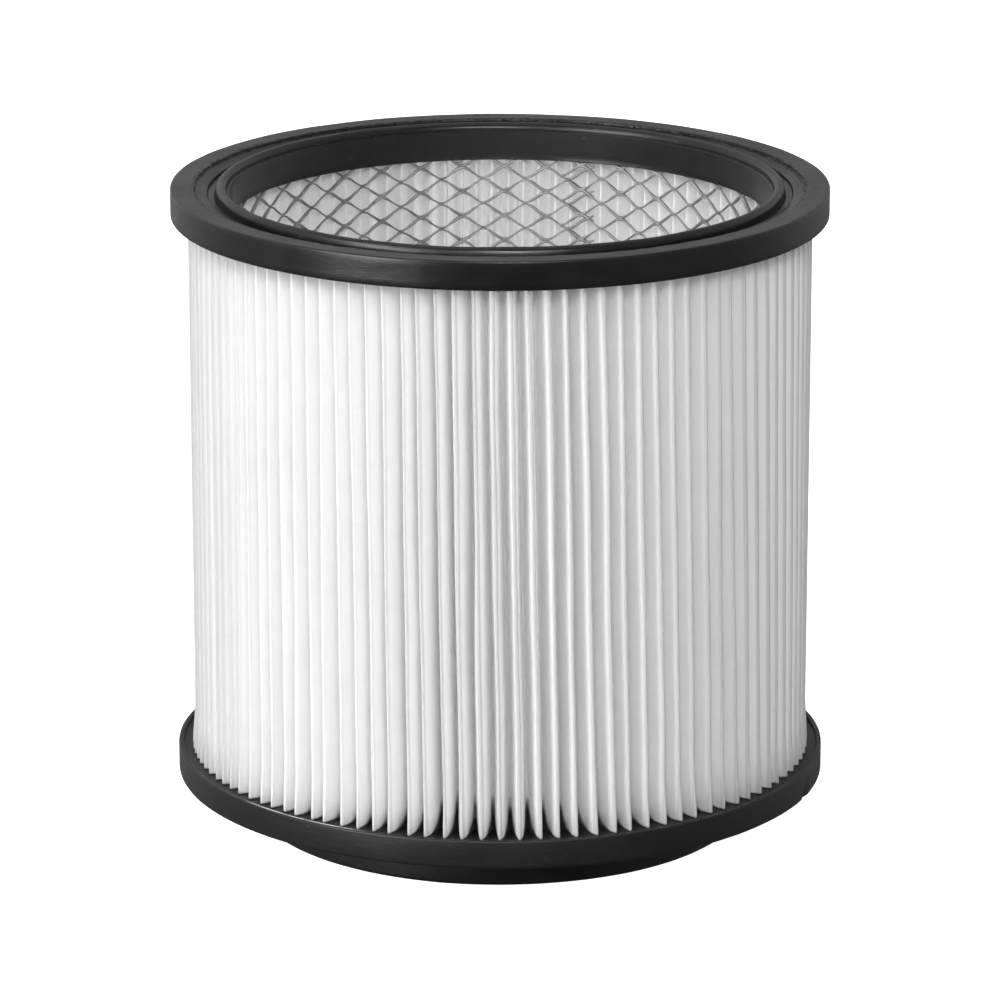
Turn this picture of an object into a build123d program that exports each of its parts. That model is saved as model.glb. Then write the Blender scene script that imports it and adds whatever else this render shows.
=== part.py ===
from build123d import *
import os
from math import acos, atan2, ceil, cos, hypot, pi, sin, tan

os.makedirs("parts", exist_ok=True)

# Cartridge filter element of a wet and dry vacuum cleaner, in millimetres. A ring of pleated
# nonwoven stands between two moulded end caps, round a rolled tube of expanded metal. The caps
# are cast onto the pack, so both ends of the pleats and of the tube sit in them face to face.
# Origin: centre of the foot's underside, on the axis. +Z runs up the axis to the open end.

# ---- Driving dimensions ----

# Both end caps
cap_radius = 100.0          # outside of both caps
rim_height = 198.2          # underside of the foot to the upper cap's rim
cap_edge_rounding = 1.1     # outer edges of both caps
potting_depth = 4.0         # pleats and core inside each cap

# Upper cap, from its rim inward
top_cap_height = 8.5        # outer side, rim to underside
rim_width = 7.2             # flat outer band
shelf_drop = 0.35           # step from the rim down to the shelf inside it
groove_width = 1.5          # gap between the shelf and the seal lip
groove_depth = 2.2          # below the rim
lip_width = 4.8             # bore wall to the lip's outer side
lip_rise = 0.9              # crest above the rim
lip_crest_inset = 2.6       # bore wall to the crest
lip_side_draft = 0.4        # slope of the lip's outer side over its height
lip_shoulder = 0.8          # ledge between the bore wall and the lip's inner side
lip_shoulder_drop = 1.2     # ledge below the rim
skirt_drop = 2.4            # bore wall below the cap's underside

# Lower cap: a shallow tray on a hollow foot, closed in the middle
tray_height = 8.8           # outer side, foot to rim
tray_rim_width = 1.5        # wall that stands round the pleats
tray_depth = 1.3            # tray's rim above its floor
foot_radius = 76.0
foot_height = 13.8
foot_wall = 6.0
foot_edge_rounding = 1.4
floor_thickness = 4.0       # disc that closes the end
bed_margin = 2.5            # potting inside the core's tube

# Pleats
pleat_count = 108
pleat_overhang = 4.8        # caps' outside beyond the pleat tips
pleat_depth = 11.0          # tip to root, outside faces
media_thickness = 0.55
fold_radius = 0.55          # hollow side of each fold

# Core of expanded metal
core_thickness = 0.8
core_clearance = 1.1        # core to pleat roots, room for the core's lapped seam
bore_cover = 0.3            # caps' bore wall inside the core's inner face
mesh_columns = 39           # diamonds round the tube
mesh_row_height = 7.9       # diamond, node to node, rounded to whole rows over the tube
strand_width = 1.1

# ---- Derived places ----

pleat_tip_radius = cap_radius - pleat_overhang
pleat_root_radius = pleat_tip_radius - pleat_depth
core_outer_radius = pleat_root_radius - core_clearance
core_inner_radius = core_outer_radius - core_thickness
bore_radius = core_inner_radius - bore_cover

top_underside = rim_height - top_cap_height
tray_rim = foot_height + tray_height
tray_floor = tray_rim - tray_depth
pack_bottom = tray_floor - potting_depth
pack_top = top_underside + potting_depth
pack_length = pack_top - pack_bottom
floor_top = foot_height + floor_thickness


def revolved(corners):
    """Solid of revolution about Z through (radius, height, rounding) corners, in order."""
    section = make_face(Plane.XZ * Polyline([(r, z) for r, z, _ in corners], close=True))
    for r, z, rounding in corners:
        if rounding:
            corner = section.vertices().sort_by_distance((r, 0, z))[0]
            section = fillet(corner, rounding)
    return revolve(section, Axis.Z, 360)


# ---- Pleated media ----

def polar(radius, angle):
    return Vector(radius * cos(angle), radius * sin(angle))


def folded_outline(tip_radius, root_radius):
    """One side of the folded strip, with these radii on its outward and inward folds."""
    half_pitch = pi / pleat_count
    fold_offset = fold_radius + media_thickness
    tip_orbit = pleat_tip_radius - fold_offset
    root_orbit = pleat_root_radius + fold_offset

    # A panel is the crossed tangent from a tip fold's circle to the next root fold's circle
    across = polar(root_orbit, half_pitch) - polar(tip_orbit, 0)
    spread = acos((tip_radius + root_radius) / across.length)
    tip_turn = atan2(across.Y, across.X) - spread
    root_turn = tip_turn - half_pitch

    edges = []
    for pleat in range(pleat_count):
        tip_angle = 2 * pleat * half_pitch
        root_angle = tip_angle + half_pitch
        next_angle = root_angle + half_pitch
        tip = polar(tip_orbit, tip_angle)
        root = polar(root_orbit, root_angle)
        next_tip = polar(tip_orbit, next_angle)
        tip_start = tip + polar(tip_radius, tip_angle - tip_turn)
        tip_end = tip + polar(tip_radius, tip_angle + tip_turn)
        root_start = root - polar(root_radius, root_angle + root_turn)
        root_end = root - polar(root_radius, root_angle - root_turn)
        next_start = next_tip + polar(tip_radius, next_angle - tip_turn)
        tip_crown = tip + polar(tip_radius, tip_angle)
        root_crown = root - polar(root_radius, root_angle)
        edges.append(Edge.make_three_point_arc(tip_start, tip_crown, tip_end))
        edges.append(Edge.make_line(tip_end, root_start))
        edges.append(Edge.make_three_point_arc(root_start, root_crown, root_end))
        edges.append(Edge.make_line(root_end, next_start))
    return Wire(edges)


def make_pleated_media():
    """One strip folded to and fro and closed to a ring, standing on its cut edge."""
    outside = folded_outline(fold_radius + media_thickness, fold_radius)
    inside = folded_outline(fold_radius, fold_radius + media_thickness)
    return Pos(0, 0, pack_bottom) * extrude(Face(outside, [inside]), pack_length)


# ---- Core of expanded metal ----

facet_half_angle = pi / mesh_columns / 2      # a facet is half a diamond wide


def facet_half_width(radius):
    return radius * tan(facet_half_angle)


def make_core_seat():
    """The core's tube without its openings: flat facets between the columns of nodes."""
    def polygon(radius):
        corner_radius = radius / cos(facet_half_angle)
        corners = [polar(corner_radius, 2 * k * facet_half_angle) for k in range(2 * mesh_columns)]
        return make_face(Polyline(corners, close=True))

    ring = polygon(core_outer_radius) - polygon(core_inner_radius)
    return Pos(0, 0, pack_bottom) * extrude(ring, pack_length)


def make_facet():
    """One facet on the +X side, with half of each diamond along both of its upright edges."""
    inner_half = facet_half_width(core_inner_radius)
    outer_half = facet_half_width(core_outer_radius)
    middle_half = (inner_half + outer_half) / 2
    outline = Polyline(
        (core_inner_radius, -inner_half), (core_outer_radius, -outer_half),
        (core_outer_radius, outer_half), (core_inner_radius, inner_half), close=True)
    plate = Pos(0, 0, pack_bottom) * extrude(make_face(outline), pack_length)

    # A diamond from node to node, less half a strand on each of its four sides
    rows = ceil(pack_length / mesh_row_height)
    row_height = pack_length / rows
    node_reach = 2 * middle_half
    node_rise = row_height / 2
    strand_distance = node_reach * node_rise / hypot(node_reach, node_rise)
    opening = 1 - strand_width / 2 / strand_distance

    def half_diamond(side, height):
        """The half of a diamond that lies in this facet, on its -Y or +Y edge."""
        margin = outer_half                    # carries the cut past the facet's edge
        point = side * (middle_half - node_reach * opening)
        base = side * (middle_half + margin)
        rise = node_rise * (opening + margin / node_reach)
        triangle = Polyline(
            (point, height), (base, height - rise), (base, height + rise), close=True)
        reach = core_outer_radius + core_thickness
        return extrude(make_face(Plane.YZ * triangle), reach, dir=(1, 0, 0))

    left = [half_diamond(-1, pack_bottom + k * row_height) for k in range(rows + 1)]
    right = [half_diamond(1, pack_bottom + (k + 0.5) * row_height) for k in range(rows)]
    facet = plate - left - right
    return facet.solid()


def make_inner_core():
    """Facets and their mirror images side by side round the axis, sewn into one sheet."""
    step = 180 / mesh_columns
    facet = Rot(0, 0, step / 2) * make_facet()
    pair = [facet, mirror(facet, Plane.XZ)]

    def joins_a_neighbour(face):
        """True for the strand ends that lie on a facet's upright edges."""
        centre = face.center()
        normal = face.normal_at(centre)
        toward_axis = abs(normal.X * centre.X + normal.Y * centre.Y) / hypot(centre.X, centre.Y)
        return toward_axis < 0.001 and abs(normal.Z) < 0.001

    skin = [face for half in pair for face in half.faces() if not joins_a_neighbour(face)]
    tube = [Rot(0, 0, 2 * step * column) * face for column in range(mesh_columns) for face in skin]
    return Solid(Shell(tube))


# ---- End caps ----

def make_top_end_cap(media):
    """Open cap: rim, shelf, seal groove, seal lip and bore wall, over the potted ends."""
    lip_outer = bore_radius + lip_width
    rim_inner = cap_radius - rim_width
    lip_base = rim_height - groove_depth
    shelf = rim_height - shelf_drop
    shoulder = rim_height - lip_shoulder_drop
    skirt_end = top_underside - skirt_drop
    skirt_outer = core_outer_radius + core_clearance / 2
    outline = [
        (bore_radius, skirt_end, 0),
        (skirt_outer, skirt_end, 0),
        (skirt_outer, top_underside, 0),
        (cap_radius, top_underside, cap_edge_rounding),
        (cap_radius, rim_height, cap_edge_rounding),
        (rim_inner, rim_height, 0),
        (rim_inner, shelf, 0),
        (lip_outer + groove_width, shelf, shelf_drop),
        (lip_outer + groove_width, lip_base, 0),
        (lip_outer, lip_base, 0),
    ]
    body = revolved(outline + [(bore_radius, lip_base, 0)])

    # The lip's rounded ridge stands on the ring inside the groove
    lip_side = (lip_outer - lip_side_draft, rim_height)
    crest = (bore_radius + lip_crest_inset, rim_height + lip_rise)
    foot = (bore_radius + lip_shoulder, shoulder)
    ridge = ThreePointArc(lip_side, crest, foot)
    flank = Polyline(foot, (bore_radius, shoulder), (bore_radius, lip_base))
    base = Polyline((bore_radius, lip_base), (lip_outer, lip_base), lip_side)
    lip = revolve(make_face(Plane.XZ * (ridge + flank + base)), Axis.Z, 360)
    return body + lip - make_core_seat() - media


def make_bottom_end_cap(media):
    """Closed cap: tray round the pleats, potting bed, closing disc and hollow foot."""
    rim_inner = cap_radius - tray_rim_width
    bed_inner = core_inner_radius - bed_margin
    foot_inner = foot_radius - foot_wall
    outline = [
        (0, foot_height, 0),
        (foot_inner, foot_height, foot_edge_rounding),
        (foot_inner, 0, foot_edge_rounding),
        (foot_radius, 0, foot_edge_rounding),
        (foot_radius, foot_height, foot_edge_rounding),
        (cap_radius, foot_height, cap_edge_rounding),
        (cap_radius, tray_rim, tray_rim_width / 3),
        (rim_inner, tray_rim, tray_rim_width / 3),
        (rim_inner, tray_floor, 0),
        (bed_inner, tray_floor, foot_edge_rounding),
        (bed_inner, floor_top, foot_edge_rounding),
        (0, floor_top, 0),
    ]
    return revolved(outline) - make_core_seat() - media


# ---- Write the nodes ----

def write(name, shape):
    export_step(shape, "parts/" + name + ".step", write_pcurves=False)


media = make_pleated_media()
write("pleated_media", media)
write("inner_core", make_inner_core())
write("top_end_cap", make_top_end_cap(media))
write("bottom_end_cap", make_bottom_end_cap(media))
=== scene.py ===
from math import cos, hypot, pi, radians, sin, tan

import bmesh
import bpy
from mathutils import Matrix, Vector, noise


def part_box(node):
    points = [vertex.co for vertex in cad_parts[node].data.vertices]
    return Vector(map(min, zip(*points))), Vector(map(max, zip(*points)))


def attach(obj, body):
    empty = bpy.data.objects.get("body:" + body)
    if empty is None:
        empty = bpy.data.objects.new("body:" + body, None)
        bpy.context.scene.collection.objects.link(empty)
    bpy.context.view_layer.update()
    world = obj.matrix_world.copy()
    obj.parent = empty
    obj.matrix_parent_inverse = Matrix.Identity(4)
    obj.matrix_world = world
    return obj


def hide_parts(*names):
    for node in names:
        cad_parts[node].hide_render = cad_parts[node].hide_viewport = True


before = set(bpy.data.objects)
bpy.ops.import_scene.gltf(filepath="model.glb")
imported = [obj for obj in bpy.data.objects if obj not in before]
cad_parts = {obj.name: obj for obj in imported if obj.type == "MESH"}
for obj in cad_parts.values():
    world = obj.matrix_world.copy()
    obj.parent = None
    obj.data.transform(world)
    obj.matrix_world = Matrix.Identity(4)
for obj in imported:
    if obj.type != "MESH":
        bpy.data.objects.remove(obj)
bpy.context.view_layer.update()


# ---------------------------------------------------------------------------------------------
# Lower end cap: one casting of black elastomer, a shallow tray on a smaller hollow foot. It is
# poured round the ends of the pleats, so the tray's floor creeps a little up every fold.
# ---------------------------------------------------------------------------------------------

MM = 0.001

cap_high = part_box("bottom_end_cap")[1]
cap_radius = cap_high.x
tray_rim = cap_high.z
tray_floor = tray_rim - 1.3 * MM
tray_wall = 1.5 * MM
flange_rounding = 1.1 * MM
foot_height = 13.8 * MM
foot_radius = 76.0 * MM
foot_wall = 6.0 * MM
foot_rounding = 1.4 * MM
disc_top = 17.8 * MM
bed_inner = 79.8 * MM


def rounded_section(corners, steps=4):
    """Points of a section through (radius, height, rounding) corners, with each rounding cut as
    a short row of points."""
    points = []
    for i, (r, z, rounding) in enumerate(corners):
        corner = Vector((r, z))
        if not rounding:
            points.append(corner)
            continue
        before = Vector(corners[i - 1][:2]) - corner
        after = Vector(corners[(i + 1) % len(corners)][:2]) - corner
        half = before.angle(after) / 2
        reach = min(rounding / tan(half), before.length * 0.49, after.length * 0.49)
        start = corner + before.normalized() * reach
        end = corner + after.normalized() * reach
        for k in range(steps + 1):
            t = k / steps
            points.append(start * (1 - t) ** 2 + corner * 2 * t * (1 - t) + end * t ** 2)
    return [(p.x, p.y) for p in points]


def divided(section, longest):
    """The section with its long straight runs cut into shorter ones, so they can be uneven."""
    points = []
    for (r0, z0), (r1, z1) in zip(section, section[1:] + section[:1]):
        pieces = max(1, round(hypot(r1 - r0, z1 - z0) / longest))
        for k in range(pieces):
            points.append((r0 + (r1 - r0) * k / pieces, z0 + (z1 - z0) * k / pieces))
    return points


def spun(name, section, segments, waver):
    """Turns a closed section round the axis. waver(point) moves each point a little, the way a
    casting leaves its mould."""
    mesh = bmesh.new()
    rings = []
    for r, z in section:
        if r < 1e-6:
            rings.append([mesh.verts.new((0, 0, z))] * segments)
            continue
        ring = []
        for k in range(segments):
            a = 2 * pi * k / segments
            ring.append(mesh.verts.new(waver(Vector((r * cos(a), r * sin(a), z)))))
        rings.append(ring)
    for one, two in zip(rings, rings[1:] + rings[:1]):
        for k in range(segments):
            n = (k + 1) % segments
            corners = list(dict.fromkeys((one[k], one[n], two[n], two[k])))
            if len(corners) > 2:
                mesh.faces.new(corners)
    bmesh.ops.recalc_face_normals(mesh, faces=mesh.faces)
    data = bpy.data.meshes.new(name)
    mesh.to_mesh(data)
    mesh.free()
    piece = bpy.data.objects.new(name, data)
    bpy.context.scene.collection.objects.link(piece)
    data.shade_smooth()
    data.set_sharp_from_angle(angle=radians(38))
    return piece


nick_angle = radians(69)
nick_place = Vector((cap_radius * sin(nick_angle), -cap_radius * cos(nick_angle), 15.0 * MM))
nick_reach = 2.2 * MM
nick_depth = 1.6 * MM
cap_waver = 0.12 * MM


def cast_cap_waver(p):
    """Uneven shrinkage of the casting, and one nick on the flange's lower edge."""
    slow = noise.noise(p * 28) * cap_waver
    quick = noise.noise(p * 140 + Vector((7, 0, 3))) * 0.05 * MM
    out = Vector((p.x, p.y, 0)).normalized()
    keep = min(1.0, (cap_radius - out.dot(p)) / (2 * MM)) if p.z > tray_floor else 1.0
    p = p + out * (slow - cap_waver) + Vector((0, 0, quick * keep))
    depth = 1 - (p - nick_place).length / nick_reach
    if depth > 0:
        p = p - out * depth * nick_depth
    return p


cap_section = rounded_section([
    (0, foot_height, 0),
    (foot_radius - foot_wall, foot_height, foot_rounding),
    (foot_radius - foot_wall, 0, foot_rounding),
    (foot_radius, 0, foot_rounding),
    (foot_radius, foot_height, 1.0 * MM),
    (cap_radius, foot_height, flange_rounding),
    (cap_radius, tray_rim, 0.5 * MM),
    (cap_radius - tray_wall, tray_rim, 0.4 * MM),
    (cap_radius - tray_wall, tray_floor, 0.3 * MM),
    (bed_inner, tray_floor, 1.4 * MM),
    (bed_inner, disc_top, 1.4 * MM),
    (0, disc_top, 0),
])
lower_cap = spun("lower_end_cap", divided(cap_section, 3 * MM), segments=320,
                 waver=cast_cap_waver)


def link(tree, source, target):
    tree.links.new(source, target)


def fill(tree, socket, value):
    """Sets a socket to a number or colour, or links another node's output to it."""
    if isinstance(value, bpy.types.NodeSocket):
        link(tree, value, socket)
    else:
        socket.default_value = value


def node(tree, kind, **inputs):
    """A node with its inputs set by name."""
    made = tree.nodes.new(kind)
    for name, value in inputs.items():
        fill(tree, made.inputs[name.replace("_", " ")], value)
    return made


def shade_math(tree, operation, *values):
    made = tree.nodes.new("ShaderNodeMath")
    made.operation = operation
    for socket, value in zip(made.inputs, values):
        fill(tree, socket, value)
    return made.outputs[0]


def added(tree, first, *others):
    for other in others:
        first = shade_math(tree, "ADD", first, other)
    return first


def scaled(tree, first, *others):
    """All the values multiplied together."""
    for other in others:
        first = shade_math(tree, "MULTIPLY", first, other)
    return first


def gap_to(tree, value, place):
    """How far the value is from a place, on either side."""
    return shade_math(tree, "ABSOLUTE", shade_math(tree, "SUBTRACT", value, place))


def split(tree, vector):
    """The vector's three numbers."""
    parts = tree.nodes.new("ShaderNodeSeparateXYZ")
    link(tree, vector, parts.inputs[0])
    return parts.outputs


def from_axis(tree, x, y):
    """Distance from the cartridge's axis."""
    return shade_math(tree, "SQRT", added(tree, scaled(tree, x, x), scaled(tree, y, y)))


def stretched(tree, source, scale):
    """Coordinates stretched by scale, for grain that runs one way."""
    mapping = tree.nodes.new("ShaderNodeMapping")
    link(tree, source, mapping.inputs["Vector"])
    mapping.inputs["Scale"].default_value = scale
    return mapping.outputs[0]


def grain(tree, where, scale, detail=2.0, roughness=0.5, distortion=0.0):
    made = node(tree, "ShaderNodeTexNoise", Vector=where, Scale=scale, Detail=detail,
                Roughness=roughness, Distortion=distortion)
    return made.outputs[0]


def ramped(tree, value, low, high, at_low=0.0, at_high=1.0):
    """The value spread from low..high to at_low..at_high, held at both ends."""
    made = node(tree, "ShaderNodeMapRange", Value=value, From_Min=low, From_Max=high,
                To_Min=at_low, To_Max=at_high)
    made.interpolation_type = "SMOOTHSTEP"
    return made.outputs[0]


def mixed(tree, factor, one, two):
    made = tree.nodes.new("ShaderNodeMix")
    made.data_type = "RGBA"
    for socket, value in zip((made.inputs[0], made.inputs[6], made.inputs[7]), (factor, one, two)):
        fill(tree, socket, value)
    return made.outputs[2]


def grey(shade):
    return (shade, shade, shade, 1)


def bumped(tree, height, distance, strength, below=None):
    """Relief from a height, laid over the relief below it."""
    made = node(tree, "ShaderNodeBump", Height=height, Distance=distance, Strength=strength)
    if below is not None:
        link(tree, below, made.inputs["Normal"])
    return made.outputs[0]


def new_finish(name):
    """A material with its tree, its surface shader and the piece's own coordinates."""
    material = bpy.data.materials.new(name)
    material.use_nodes = True
    tree = material.node_tree
    coordinates = tree.nodes.new("ShaderNodeTexCoord")
    return material, tree, tree.nodes["Principled BSDF"], coordinates


step_radius = 92.7 * MM         # the upper cap's ragged step, where the mould's halves met
highlight_angle = -2.22            # middle of the stretch of the tray's rim where a pale highlight is painted
highlight_radius = cap_radius - 1.2 * MM


def cap_rubber():
    """Black cast elastomer: a dull skin with flow lines round the ring, fine grain, a few burst
    bubbles, pale scuffs, a ragged line along the upper cap's step, and a pale highlight painted
    on a stretch of the tray rim."""
    material, tree, surface, coordinates = new_finish("cap_rubber")
    place = coordinates.outputs["Object"]
    x, y, z = split(tree, place)
    angle = shade_math(tree, "ARCTAN2", y, x)
    radius = from_axis(tree, x, y)
    flow_turn = 0.03        # how far flow lines change on one turn round the ring
    turned = node(tree, "ShaderNodeCombineXYZ",
                  X=scaled(tree, shade_math(tree, "COSINE", angle), flow_turn),
                  Y=scaled(tree, shade_math(tree, "SINE", angle), flow_turn),
                  Z=added(tree, radius, z)).outputs[0]

    flow = grain(tree, turned, 260.0, 4.0, 0.6, 0.6)
    cloud = grain(tree, place, 30.0, 3.0, 0.6)
    fine = grain(tree, place, 2600.0, 2.0, 0.5)
    streaks = scaled(tree, ramped(tree, grain(tree, turned, 620.0, 3.0, 0.7, 1.0), 0.60, 0.72),
                     ramped(tree, grain(tree, place, 55.0, 2.0), 0.50, 0.62))
    upright = stretched(tree, place, (60.0, 60.0, 420.0))
    scuffs = ramped(tree, grain(tree, upright, 9.0, 4.0, 0.7, 1.5), 0.66, 0.78)
    cells = node(tree, "ShaderNodeTexVoronoi", Vector=place, Scale=260.0).outputs[0]
    dimples = scaled(tree, ramped(tree, cells, 0.05, 0.30, 1.0, 0.0),
                     ramped(tree, grain(tree, place, 70.0, 1.0), 0.60, 0.68))

    ragged = grain(tree, place, 420.0, 3.0, 0.7)
    pits = scaled(
        tree, ramped(tree, gap_to(tree, radius, step_radius), 0.3 * MM, 1.2 * MM, 1.0, 0.0),
        ramped(tree, ragged, 0.48, 0.56), ramped(tree, z, 193 * MM, 196 * MM))
    # A pale highlight painted on a stretch of the tray's rim
    painted_highlight = scaled(
        tree, ramped(tree, gap_to(tree, radius, highlight_radius), 0.2 * MM, 0.7 * MM, 1.0, 0.0),
        ramped(tree, gap_to(tree, angle, highlight_angle), 0.12, 0.26, 1.0, 0.0),
        ramped(tree, gap_to(tree, z, tray_rim), 0.2 * MM, 0.8 * MM, 1.0, 0.0),
        ramped(tree, ragged, 0.36, 0.52, 0.25, 1.0))

    base = mixed(tree, ramped(tree, cloud, 0.3, 0.75), (0.0050, 0.0051, 0.0053, 1),
                 (0.0085, 0.0086, 0.0089, 1))
    base = mixed(tree, scaled(tree, scuffs, 0.22), base, (0.075, 0.075, 0.074, 1))
    base = mixed(tree, scaled(tree, streaks, 0.35), base, grey(0.060))
    base = mixed(tree, pits, base, grey(0.002))
    # Paints the highlight on the tray's rim
    base = mixed(tree, painted_highlight, base, grey(0.62))
    link(tree, base, surface.inputs["Base Color"])
    dull = added(tree, ramped(tree, cloud, 0.3, 0.7, 0.27, 0.37), scaled(tree, scuffs, 0.18))
    wear_and_side_shade = ramped(tree, z, 30 * MM, 120 * MM, 0.12, 0.0)
    link(tree, added(tree, dull, wear_and_side_shade), surface.inputs["Roughness"])
    surface.inputs["Specular IOR Level"].default_value = 0.43

    relief = bumped(tree, flow, 0.35 * MM, 0.25)
    relief = bumped(tree, fine, 0.08 * MM, 0.30, relief)
    relief = bumped(tree, dimples, -0.3 * MM, 0.25, relief)
    relief = bumped(tree, pits, -0.5 * MM, 0.7, relief)
    link(tree, relief, surface.inputs["Normal"])
    return material


rubber = cap_rubber()
lower_cap.data.materials.append(rubber)
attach(lower_cap, "root")
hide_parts("bottom_end_cap")


# ---------------------------------------------------------------------------------------------
# Pleated media: one strip of white spunbond nonwoven, folded to and fro into 108 pleats, closed
# to a ring and potted at both cut edges. The folds stand free between the caps, a little uneven
# and leaning, and are pinched thin where the potting holds them.
# ---------------------------------------------------------------------------------------------

media_low, media_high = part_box("pleated_media")
pleat_count = 108
pleat_cloth = 22.2 * MM         # cloth in one pleat, down one side and up the other
fold_allowance = 0.40 * MM      # the cloth lies this far inside the pack's outline at its roots
tip_radius = media_high.x
root_radius = 84.2 * MM
strip_low, strip_high = media_low.z, media_high.z
top_underside = 189.7 * MM
steps_per_pleat = 14
strip_rows = 40
cloth_glow = 0.46               # share of the light that comes through from the other side


class Tree:
    """A geometry node tree under construction, with short ways to write its sums."""

    def __init__(self, name):
        self.group = bpy.data.node_groups.new(name, "GeometryNodeTree")
        self.group.interface.new_socket("Geometry", in_out="OUTPUT",
                                        socket_type="NodeSocketGeometry")
        self.out = self.group.nodes.new("NodeGroupOutput")
        self.sockets = {}
        self.entry = None

    def size(self, name, value, kind="NodeSocketFloat"):
        """A named input of the tree, with its value."""
        made = self.group.interface.new_socket(name, in_out="INPUT", socket_type=kind)
        self.sockets[name] = (made.identifier, value)
        if self.entry is None:
            self.entry = self.group.nodes.new("NodeGroupInput")
        return self.entry.outputs[name]

    def add(self, kind, *inputs, **settings):
        """A node with its settings made first, then its inputs filled in order or by name."""
        made = self.group.nodes.new(kind)
        named = settings.pop("named", {})
        for key, value in settings.items():
            setattr(made, key, value)
        for place, value in [*enumerate(inputs), *named.items()]:
            if value is None:
                continue
            socket = made.inputs[place]
            if isinstance(value, bpy.types.NodeSocket):
                self.group.links.new(value, socket)
            else:
                socket.default_value = value
        return made

    def sum(self, operation, *values):
        return self.add("ShaderNodeMath", *values, operation=operation).outputs[0]

    def plus(self, *values):
        total = values[0]
        for value in values[1:]:
            total = self.sum("ADD", total, value)
        return total

    def times(self, *values):
        total = values[0]
        for value in values[1:]:
            total = self.sum("MULTIPLY", total, value)
        return total

    def curve(self, value, points):
        """The value read off a line through these points."""
        made = self.add("ShaderNodeFloatCurve", 1.0, value)
        line = made.mapping.curves[0]
        while len(line.points) < len(points):
            line.points.new(0.5, 0.5)
        for point, (x, y) in zip(line.points, points):
            point.location = (x, y)
            point.handle_type = "VECTOR"
        made.mapping.update()
        return made.outputs[0]

    def between(self, factor, one, two):
        return self.add("ShaderNodeMix", factor, None, one, two).outputs[0]

    def spread(self, value, low, high, at_low=0.0, at_high=1.0):
        return self.add("ShaderNodeMapRange", value, low, high, at_low, at_high,
                        interpolation_type="SMOOTHSTEP").outputs[0]

    def chance(self, low, high, number, seed):
        """A fixed random number for each whole number."""
        return self.add("FunctionNodeRandomValue", data_type="FLOAT", named={
            2: low, 3: high, 7: number, 8: seed}).outputs[1]

    def noise(self, where, scale, detail=1.0):
        return self.add("ShaderNodeTexNoise", named={
            "Vector": where, "Scale": scale, "Detail": detail}).outputs[0]

    def vector(self, x, y, z):
        return self.add("ShaderNodeCombineXYZ", x, y, z).outputs[0]

    def polar(self, radius, angle, z):
        """The place at this distance and angle round the axis."""
        return self.vector(self.times(radius, self.sum("COSINE", angle)),
                           self.times(radius, self.sum("SINE", angle)), z)

    def finished(self, geometry, name, material):
        """The tree's result as a plain mesh object, with no modifier left on it."""
        real = self.add("GeometryNodeRealizeInstances", geometry)
        painted = self.add("GeometryNodeSetMaterial", real.outputs[0], named={2: material})
        self.group.links.new(painted.outputs[0], self.out.inputs[0])
        maker = bpy.data.objects.new(name + "_maker", bpy.data.meshes.new(name + "_maker"))
        bpy.context.scene.collection.objects.link(maker)
        modifier = maker.modifiers.new("make", "NODES")
        modifier.node_group = self.group
        for identifier, value in self.sockets.values():
            modifier[identifier] = value
        bpy.context.view_layer.update()
        seen = maker.evaluated_get(bpy.context.evaluated_depsgraph_get())
        data = bpy.data.meshes.new_from_object(seen)
        data.name = name
        piece = bpy.data.objects.new(name, data)
        bpy.context.scene.collection.objects.link(piece)
        maker.modifiers.remove(modifier)
        bpy.data.objects.remove(maker)
        return piece


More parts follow.
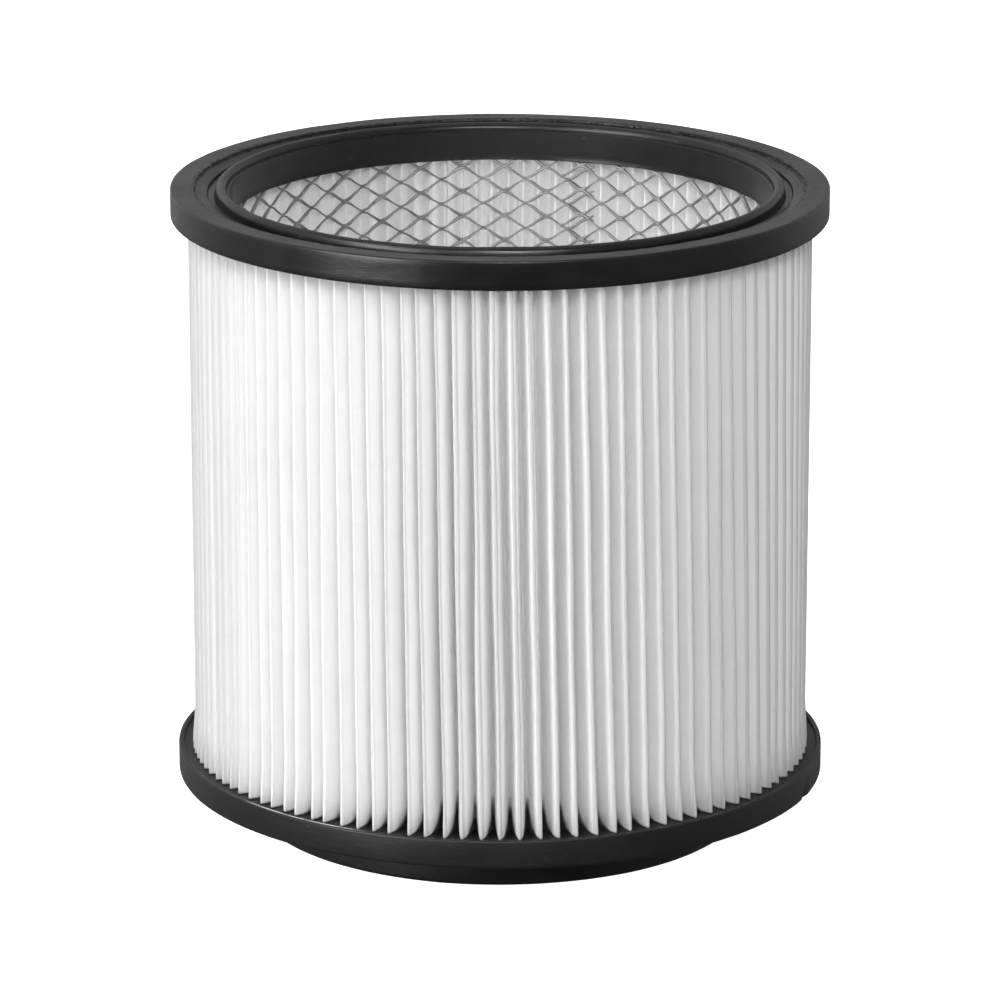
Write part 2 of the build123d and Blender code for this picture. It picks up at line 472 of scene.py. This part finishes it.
def nonwoven_cloth():
    """White spunbond: matted fibres and a slightly uneven weight, painted greyer on the crests of
    the folds as shade, and stained by the black potting where it creeps up them, fading upward
    into painted shade deep in the folds."""
    material, tree, surface, coordinates = new_finish("nonwoven")
    cloth = coordinates.outputs["UV"]
    place = coordinates.outputs["Object"]
    x, y, z = split(tree, place)

    lengthwise = grain(tree, stretched(tree, cloth, (500.0, 2600.0, 1.0)), 1.0, 3.0, 0.6, 1.2)
    crosswise = grain(tree, stretched(tree, cloth, (2600.0, 500.0, 1.0)), 1.0, 3.0, 0.6, 1.2)
    fibres = added(tree, lengthwise, crosswise)
    weight = grain(tree, cloth, 160.0, 3.0, 0.65)
    yellowed = ramped(tree, grain(tree, place, 22.0, 2.0, 0.5), 0.45, 0.75, 0.0, 0.35)
    shade = mixed(tree, ramped(tree, weight, 0.25, 0.75), grey(0.925), grey(0.955))
    shade = mixed(tree, yellowed, shade, (0.93, 0.929, 0.924, 1))

    out = from_axis(tree, x, y)
    deep = ramped(tree, out, tip_radius - 1.5 * MM, root_radius)
    # Painted shade on the crests of the folds, greyest at the far left and over the right half
    crest_shade = ramped(tree, out, tip_radius - 1.6 * MM, tip_radius - 0.5 * MM, 0.0, 0.85)
    wear_and_side_shade = added(tree, ramped(tree, x, -90 * MM, -68 * MM, 1.0, 0.15),
                    ramped(tree, x, -60 * MM, 0.0, 0.0, 0.85))
    shade = mixed(tree, scaled(tree, crest_shade, wear_and_side_shade), shade, grey(0.62))

    # The potting climbs highest in the roots, and its edge creeps up the fibres unevenly. Above it
    # the black fades softly upward, widest deep in the folds, which paints shade there.
    above = shade_math(tree, "SUBTRACT", z, tray_floor)
    climbed = ramped(tree, grain(tree, place, 130.0, 1.0), 0.3, 0.7, 3.5 * MM, 7.0 * MM)
    climb = scaled(tree, shade_math(tree, "POWER", deep, 4.0), climbed)
    creep = scaled(tree, grain(tree, place, 420.0, 3.0, 0.6),
                   ramped(tree, deep, 0.0, 0.5, 0.4 * MM, 1.8 * MM))
    over = shade_math(tree, "SUBTRACT", above, added(tree, climb, creep))
    fade = added(tree, scaled(tree, climb, 0.45), scaled(tree, deep, 1.6 * MM), 0.3 * MM)
    potting_stain_and_shade = ramped(tree, shade_math(tree, "DIVIDE", over, fade), -0.6, 1.7, 1.0, 0.0)
    # The folds are painted greyer towards the tray floor, away from their crests
    greyer_near_floor = scaled(tree, ramped(tree, above, 0.0, 6 * MM, 0.55, 0.0), ramped(tree, deep, 0.03, 0.35))
    shade = mixed(tree, greyer_near_floor, shade, grey(0.42))
    # Black potting, with painted shade in its soft upper edge
    shade = mixed(tree, potting_stain_and_shade, shade, (0.016, 0.016, 0.017, 1))
    link(tree, shade, surface.inputs["Base Color"])
    link(tree, ramped(tree, fibres, 0.6, 1.4, 0.82, 0.95), surface.inputs["Roughness"])
    surface.inputs["Specular IOR Level"].default_value = 0.25
    surface.inputs["Sheen Weight"].default_value = 0.10
    surface.inputs["Sheen Roughness"].default_value = 0.6

    relief = bumped(tree, weight, 0.18 * MM, 0.3)
    relief = bumped(tree, fibres, 0.07 * MM, 0.45, relief)
    link(tree, relief, surface.inputs["Normal"])

    # The cloth is thin enough to glow where light falls on its other side
    glow = node(tree, "ShaderNodeBsdfTranslucent", Color=shade, Normal=relief)
    thin = tree.nodes.new("ShaderNodeMixShader")
    for socket, value in zip(thin.inputs, (cloth_glow, surface.outputs[0], glow.outputs[0])):
        fill(tree, socket, value)
    link(tree, thin.outputs[0], tree.nodes["Material Output"].inputs["Surface"])
    return material


def make_folded_strip():
    t = Tree("folded_strip")
    pleats = t.size("Pleats", pleat_count, "NodeSocketInt")
    columns = t.size("Columns", pleat_count * steps_per_pleat + 1, "NodeSocketInt")
    rows = t.size("Rows", strip_rows, "NodeSocketInt")
    tip = t.size("Tip radius", tip_radius - 0.2 * MM)
    depth = t.size("Pleat depth", tip_radius - root_radius - 2 * fold_allowance)
    low = t.size("Lower edge", strip_low)
    high = t.size("Upper edge", strip_high)
    bed = t.size("Tray floor", tray_floor)
    lid = t.size("Cap underside", top_underside)
    pinch_reach = t.size("Pinched length", 13 * MM)
    wander = t.size("Uneven pitch", 0.08)
    lean_mean = t.size("Lean", radians(1.5))
    lean_side = t.size("Lean to one side", radians(2.0))
    seed = t.size("Seed", 5, "NodeSocketInt")

    grid = t.add("GeometryNodeMeshGrid", 1.0, 1.0, columns, rows)
    at = t.add("ShaderNodeSeparateXYZ", t.add("GeometryNodeInputPosition").outputs[0])
    u = t.plus(at.outputs[0], 0.5)
    v = t.plus(at.outputs[1], 0.5)

    # Rows lie closer together at both potted ends
    v = t.curve(v, [(0, 0), (0.035, 0.021), (0.36, 0.125), (0.80, 0.905), (0.965, 0.979), (1, 1)])
    z = t.plus(low, t.times(v, t.sum("SUBTRACT", high, low)))

    # Whole numbers are the outward folds, halves are the inward ones
    s = t.times(u, pleats)
    fold = t.sum("FLOOR", t.plus(s, 0.5))
    off = t.sum("SUBTRACT", s, fold)
    side = t.sum("SIGN", off)
    q = t.times(t.sum("ABSOLUTE", off), 2.0)

    # From an outward fold to the next inward one, free between the caps and held in the potting
    def half_pleat(*shares):
        return t.curve(q, [(n / 7, share) for n, share in enumerate(shares)])

    free_across = half_pleat(0, 0.13, 0.185, 0.23, 0.52, 0.79, 0.88, 1)
    free_deep = half_pleat(0, 0.011, 0.045, 0.12, 0.52, 0.90, 0.975, 1)
    held_across = half_pleat(0, 0.12, 0.18, 0.24, 0.55, 0.84, 0.92, 1)
    held_deep = half_pleat(0, 0.012, 0.048, 0.13, 0.53, 0.90, 0.975, 1)

    # Places round a plain cylinder feed the slow unevenness, so it closes at the join
    turn = t.times(u, 2 * pi)
    round_x, round_y = t.sum("COSINE", turn), t.sum("SINE", turn)
    reach = t.vector(t.times(round_x, 9.0), t.times(round_y, 9.0), t.times(z, 14.0))
    close = t.vector(t.times(round_x, 60.0), t.times(round_y, 60.0), t.times(z, 22.0))

    from_bed = t.sum("SUBTRACT", z, bed)
    from_lid = t.sum("SUBTRACT", lid, z)
    length = t.times(pinch_reach, t.plus(0.55, t.noise(close, 1.0)))
    held_low = t.spread(t.sum("DIVIDE", from_bed, length), 0.05, 1.0, 1.0, 0.0)
    held_top = t.spread(t.sum("DIVIDE", from_lid, length), 0.05, 0.8, 1.0, 0.0)
    held = t.sum("MAXIMUM", held_low, held_top)

    # Every fold line has its own place, lean and slack
    pairs = t.times(pleats, 2)
    tip_number = t.sum("FLOORED_MODULO", t.times(fold, 2), pairs)
    root_number = t.sum("FLOORED_MODULO", t.plus(t.times(fold, 2), side), pairs)
    narrow = t.times(wander, -1.0)
    swing = t.spread(q, 0.15, 0.9)
    place = t.between(swing, t.chance(narrow, wander, tip_number, seed),
                      t.chance(narrow, wander, root_number, seed))
    seed_two = t.plus(seed, 11)
    own_lean = t.between(swing, t.chance(-0.14, 0.14, tip_number, seed_two),
                         t.chance(-0.14, 0.14, root_number, seed_two))
    billow = t.times(t.sum("SINE", t.times(q, pi)), side,
                     t.plus(t.noise(close, 0.6), -0.5), 0.20, t.sum("SUBTRACT", 1.0, held))

    across = t.between(held, free_across, held_across)
    deep = t.between(held, free_deep, held_deep)
    half = t.times(side, across, 0.5)
    middle = t.sum("SUBTRACT", 0.5, v)
    number = t.plus(fold, half, place, t.times(own_lean, middle), billow)
    angle = t.times(t.sum("DIVIDE", number, pleats), 2 * pi)
    leaning = t.times(t.plus(lean_mean, t.times(lean_side, round_y)), middle)
    wavy = t.times(t.plus(t.noise(reach, 1.0), -0.5), radians(0.8))
    crowd = t.times(round_x, -0.07)
    angle = t.plus(angle, radians(-90), leaning, wavy, crowd)

    toward_tip = t.sum("SUBTRACT", 1.0, q)
    slack = t.times(t.chance(0.0, 0.30 * MM, tip_number, t.plus(seed, 23)), toward_tip)
    slack = t.times(slack, t.sum("SUBTRACT", 1.0, held_low))
    spread_out = t.times(held_low, 0.50 * MM, toward_tip)
    radius = t.sum("SUBTRACT", tip, t.times(depth, deep))
    radius = t.plus(radius, t.times(slack, -1.0), spread_out)
    folded = t.polar(radius, angle, z)

    # The flat strip's own coordinates, in metres, for the weave
    flat = t.vector(t.times(u, pleat_count * pleat_cloth), t.times(v, strip_high - strip_low), 0.0)
    marked = t.add("GeometryNodeStoreNamedAttribute", grid.outputs[0], data_type="FLOAT2",
                   domain="CORNER", named={"Name": "UVMap", "Value": flat})
    shaped = t.add("GeometryNodeSetPosition", marked.outputs[0], None, folded)
    closed = t.add("GeometryNodeMergeByDistance", shaped.outputs[0], named={"Distance": 1e-6})
    smooth = t.add("GeometryNodeSetShadeSmooth", closed.outputs[0])
    return t.finished(smooth.outputs[0], "pleated_strip", nonwoven_cloth())


strip = make_folded_strip()
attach(strip, "root")
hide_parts("pleated_media")


# ---------------------------------------------------------------------------------------------
# Inner core: one sheet of galvanised expanded metal, slit and stretched to diamonds, rolled to a
# tube and left lapped by one diamond. Its strands are twisted and run wave on wave round it.
# ---------------------------------------------------------------------------------------------

core_low, core_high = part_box("inner_core")
sheet_thickness = 0.55 * MM
strand_width = 0.80 * MM
core_radius = 82.95 * MM
diamond_rows = 22
diamonds_round = 38.85
lap_start = 76.5        # degrees, the inner layer's cut edge
lap_width = 7.6         # degrees
diamonds_with_lap = diamonds_round * (1 + lap_width / 360)


def galvanised():
    """Dull zinc: grey, cloudy and crystalline in tone, with fine rolling marks."""
    material, tree, surface, coordinates = new_finish("galvanised_sheet")
    place = coordinates.outputs["Object"]
    cloud = grain(tree, place, 210.0, 3.0, 0.6)
    crystal = node(tree, "ShaderNodeTexVoronoi", Vector=place, Scale=520.0).outputs[1]
    tone = node(tree, "ShaderNodeRGBToBW", Color=crystal).outputs[0]
    tint = added(tree, scaled(tree, tone, 0.35), scaled(tree, cloud, 0.65))
    base = mixed(tree, ramped(tree, tint, 0.25, 0.75), (0.23, 0.232, 0.235, 1),
                 (0.38, 0.383, 0.387, 1))
    link(tree, base, surface.inputs["Base Color"])
    surface.inputs["Metallic"].default_value = 0.65
    link(tree, ramped(tree, tint, 0.3, 0.7, 0.46, 0.60), surface.inputs["Roughness"])
    rolled = grain(tree, stretched(tree, place, (900.0, 900.0, 4200.0)), 1.0, 2.0)
    relief = bumped(tree, cloud, 0.1 * MM, 0.3)
    link(tree, bumped(tree, rolled, 0.04 * MM, 0.3, relief), surface.inputs["Normal"])
    return material


def make_expanded_metal():
    t = Tree("expanded_metal")
    strands = t.size("Strands", 2 * diamond_rows, "NodeSocketInt")
    total = t.size("Diamonds with the lap", diamonds_with_lap)
    samples = t.size("Points along a strand", round(diamonds_with_lap * 8) + 1, "NodeSocketInt")
    low = t.size("Lower edge", core_low.z)
    high = t.size("Upper edge", core_high.z)
    tube = t.size("Radius", core_radius)
    wide = t.size("Strand width", strand_width)
    thick = t.size("Sheet thickness", sheet_thickness)
    begin = t.size("Seam", radians(lap_start))
    sweep = t.size("Turn", radians(360 + lap_width))
    lap = t.size("Share lapped", (lap_width + 4) / (360 + lap_width))
    twist = t.size("Twist", radians(3))

    line = t.add("GeometryNodeCurvePrimitiveLine", (0, 0, 0), (1, 0, 0))
    even = t.add("GeometryNodeResampleCurve", line.outputs[0], named={"Count": samples})
    levels = t.add("GeometryNodeMeshLine", strands, named={"Offset": (0, 1, 0)})
    copies = t.add("GeometryNodeInstanceOnPoints", levels.outputs[0],
                   named={"Instance": even.outputs[0]})
    loose = t.add("GeometryNodeRealizeInstances", copies.outputs[0])

    at = t.add("ShaderNodeSeparateXYZ", t.add("GeometryNodeInputPosition").outputs[0])
    row = t.sum("ROUND", at.outputs[1])
    number = t.times(at.outputs[0], total)
    whole = t.sum("FLOOR", number)
    part = t.sum("SUBTRACT", number, whole)
    # A strand runs straight between knuckles and is flat along each knuckle
    phase = t.curve(part, [(0, 0), (1 / 8, 0.085), (3 / 8, 0.415), (5 / 8, 0.585), (7 / 8, 0.915),
                           (1, 1)])
    wave = t.curve(phase, [(0, 1), (0.085, 0.95), (0.415, 0.05), (0.5, 0), (0.585, 0.05),
                           (0.915, 0.95), (1, 1)])
    odd = t.sum("FLOORED_MODULO", row, 2.0)
    wave = t.between(odd, wave, t.sum("SUBTRACT", 1.0, wave))
    rise = t.sum("DIVIDE", t.sum("SUBTRACT", high, low), strands)
    bond = t.sum("SUBTRACT", 1.0, t.sum("DIVIDE", t.times(wide, 0.50), rise))
    level = t.plus(row, 0.5, t.times(t.plus(wave, -0.5), bond))

    share = t.sum("DIVIDE", t.plus(whole, phase), total)
    skew = t.times(t.plus(share, -0.5), -1.3 * MM)
    turn = t.sum("SUBTRACT", begin, t.times(share, sweep))
    over = t.spread(share, t.sum("SUBTRACT", 1.0, lap), t.sum("SUBTRACT", 1.0, t.times(lap, 0.72)))
    where = t.polar(26.0, turn, t.times(row, 0.9))
    bent = t.times(t.plus(t.noise(where, 1.7), -0.5), 0.25 * MM)
    sag = t.times(t.plus(t.noise(where, 1.2), -0.5), 0.35 * MM)
    radius = t.plus(tube, t.times(over, thick, 1.12), bent)
    z = t.plus(low, t.times(level, rise), skew, sag)
    rolled = t.polar(radius, turn, z)
    placed = t.add("GeometryNodeSetPosition", loose.outputs[0], None, rolled)
    upright = t.add("GeometryNodeSetCurveNormal", placed.outputs[0], mode="Z_UP")
    lean = t.add("GeometryNodeSetCurveTilt", upright.outputs[0], None, twist)

    bar = t.add("GeometryNodeCurvePrimitiveCircle", 6)
    shaped = t.add("GeometryNodeSetPosition", bar.outputs[0], None, t.add(
        "ShaderNodeVectorMath", t.add("GeometryNodeInputPosition").outputs[0],
        t.vector(t.times(wide, 0.55), t.times(thick, 0.55), 0.0), operation="MULTIPLY").outputs[0])
    to_knuckle = t.sum("ABSOLUTE", t.plus(t.times(wave, 2.0), -1.0))
    swell = t.spread(to_knuckle, 0.72, 0.97, 1.0, 1.60)
    swept = t.add("GeometryNodeCurveToMesh", lean.outputs[0], shaped.outputs[0],
                  named={"Fill Caps": True, "Scale": swell})
    return t.finished(swept.outputs[0], "expanded_metal_core", galvanised())


core = make_expanded_metal()
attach(core, "root")
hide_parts("inner_core")


# ---------------------------------------------------------------------------------------------
# Upper end cap: the open ring, cast in the same elastomer round the upper ends of pleats and
# core. A flat rim, a low shelf, a groove and the soft lip that seals on the machine.
# ---------------------------------------------------------------------------------------------

ring_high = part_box("top_end_cap")[1]
ring_radius = ring_high.x
rim_top = 198.2 * MM
lip_crest = ring_high.z
bore = 82.0 * MM


def arc_through(a, b, c, steps):
    """Points along the circle through three points of a section."""
    ax, ay, bx, by, cx, cy = *a, *b, *c
    d = 2 * (ax * (by - cy) + bx * (cy - ay) + cx * (ay - by))
    aa, bb, cc = ax**2 + ay**2, bx**2 + by**2, cx**2 + cy**2
    centre = Vector(((aa * (by - cy) + bb * (cy - ay) + cc * (ay - by)) / d,
                     (aa * (cx - bx) + bb * (ax - cx) + cc * (bx - ax)) / d))
    arms = [Vector(p) - centre for p in (a, b, c)]
    sweep = arms[0].angle_signed(arms[1]) + arms[1].angle_signed(arms[2])
    points = []
    for k in range(steps + 1):
        turned = arms[0].copy()
        turned.rotate(Matrix.Rotation(-sweep * k / steps, 2))
        points.append(tuple(centre + turned))
    return points


ring_shrink = 0.10 * MM


def ring_waver(p):
    """The ring is a little out of true, its lip and shelf wave more than its thick rim, and the
    step between rim and shelf is ragged."""
    out = Vector((p.x, p.y, 0)).normalized()
    away = out.dot(p)
    slow = noise.noise(p * 24 + Vector((0, 5, 0))) * ring_shrink
    soft = 1.0 if away < 89 * MM else 0.5
    quick = noise.noise(Vector((p.x, p.y, 0)) * 90 + Vector((away * 300, 0, 9))) * 0.16 * MM * soft
    if p.z < rim_top - 4 * MM:
        quick = 0
    if step_radius - 0.5 * MM < away < step_radius + 0.4 * MM:
        slow += noise.noise(Vector((p.x, p.y, 3)) * 380) * 0.60 * MM
    share = 0.7 if ring_radius - away < 0.3 * MM else 1
    return p + out * (slow - ring_shrink) * share + Vector((0, 0, quick - 0.05 * MM))


lip_outer = bore + 4.6 * MM
lip_base = rim_top - 2.4 * MM
skirt_outer = bore + 1.65 * MM
skirt_end = top_underside - 2.4 * MM
ring_section = rounded_section([
    (bore, skirt_end, 0.4 * MM),
    (skirt_outer, skirt_end, 0),
    (skirt_outer, top_underside, 0),
    (ring_radius, top_underside, 0.9 * MM),
    (ring_radius, rim_top + 0.35 * MM, 0.55 * MM),
    (step_radius + 0.1 * MM, rim_top + 0.20 * MM, 0.25 * MM),
    (step_radius, rim_top - 0.45 * MM, 0.15 * MM),
    (lip_outer + 2.3 * MM, rim_top - 1.35 * MM, 0.30 * MM),
    (lip_outer + 2.0 * MM, lip_base, 0.4 * MM),
    (lip_outer, lip_base, 0.4 * MM),
])
ring_section += arc_through((lip_outer - 0.4 * MM, rim_top), (bore + 2.6 * MM, lip_crest),
                            (bore + 0.8 * MM, rim_top - 1.2 * MM), 12)
ring_section += [(bore + 0.25 * MM, rim_top - 1.25 * MM), (bore + 0.05 * MM, rim_top - 1.5 * MM)]
upper_cap = spun("upper_end_cap", divided(ring_section, 1.6 * MM), segments=360,
                 waver=ring_waver)
upper_cap.data.materials.append(rubber)
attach(upper_cap, "root")
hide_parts("top_end_cap")


# ---------------------------------------------------------------------------------------------
# Floor, lights and camera
# ---------------------------------------------------------------------------------------------

bpy.context.scene.view_settings.view_transform = "Standard"


def pale_floor():
    material, tree, surface, coordinates = new_finish("pale_floor")
    cloud = grain(tree, coordinates.outputs["Object"], 14.0)
    link(tree, mixed(tree, cloud, grey(0.86), grey(0.90)), surface.inputs["Base Color"])
    surface.inputs["Roughness"].default_value = 0.9
    surface.inputs["Emission Color"].default_value = grey(1)
    surface.inputs["Emission Strength"].default_value = 0.97
    return material


data = bpy.data.meshes.new("floor")
half_floor = 6.0
data.from_pydata([(-half_floor, -half_floor, 0), (half_floor, -half_floor, 0),
                  (half_floor, half_floor, 0), (-half_floor, half_floor, 0)], [], [(0, 1, 2, 3)])
floor = bpy.data.objects.new("floor", data)
bpy.context.scene.collection.objects.link(floor)
data.materials.append(pale_floor())
floor.visible_diffuse = False
floor.visible_glossy = False

world = bpy.data.worlds.new("studio")
bpy.context.scene.world = world
world.use_nodes = True
room = world.node_tree
soft_light = room.nodes["Background"]
# The walls glow softly towards the back and both sides, and less below the horizon
aside, ahead, upward = split(room, room.nodes.new("ShaderNodeTexCoord").outputs["Generated"])
back_wall = ramped(room, ahead, -0.6, 0.95, 0.0, 0.36)
left_wall = ramped(room, aside, -0.95, 0.3, 0.46, 0.0)
right_wall = ramped(room, aside, 0.2, 0.95, 0.0, 0.34)
low_wall = ramped(room, upward, -0.45, 0.05, 0.35, 1.0)
walls = scaled(room, added(room, back_wall, left_wall, right_wall), low_wall)
link(room, walls, soft_light.inputs["Strength"])
soft_light.inputs["Color"].default_value = grey(1)
paper = node(room, "ShaderNodeBackground", Color=grey(1), Strength=1.0)
seen = node(room, "ShaderNodeMixShader", Fac=room.nodes.new("ShaderNodeLightPath").outputs[0])
link(room, soft_light.outputs[0], seen.inputs[1])
link(room, paper.outputs[0], seen.inputs[2])
link(room, seen.outputs[0], room.nodes["World Output"].inputs["Surface"])


def softbox(name, place, aim, size, power):
    lamp = bpy.data.lights.new(name, "AREA")
    lamp.shape = "RECTANGLE"
    lamp.size, lamp.size_y = size
    lamp.energy = power
    holder = bpy.data.objects.new(name, lamp)
    bpy.context.scene.collection.objects.link(holder)
    holder.location = place
    holder.rotation_euler = (Vector(aim) - Vector(place)).to_track_quat("-Z", "Y").to_euler()
    return holder


softbox("key_left", (-1.35, -1.35, 0.42), (0, 0, 0.11), (1.0, 1.0), 30)
softbox("high_left", (-1.30, -0.80, 1.30), (0, 0, 0.15), (0.8, 0.8), 12)
softbox("front", (0.2, -2.2, 1.3), (0, 0, 0.1), (1.0, 0.5), 33)
softbox("fill_right", (1.5, -1.4, 0.6), (0, 0, 0.1), (1.0, 1.0), 5.5).visible_glossy = False
softbox("fill_back", (0.9, 1.7, 0.6), (0, 0, 0.1), (1.0, 1.0), 4).visible_glossy = False
softbox("overhead", (0, 0.3, 1.6), (0, 0, 0.2), (1.2, 0.5), 2)

sight = bpy.data.cameras.new("camera")
sight.lens = 206.4
sight.sensor_width = 36
sight.clip_end = 30
camera = bpy.data.objects.new("camera", sight)
bpy.context.scene.collection.objects.link(camera)
camera.location = (0, -1.696, 0.5888)
camera.rotation_euler = (radians(90 - 16.12), 0, 0)
bpy.context.scene.camera = camera
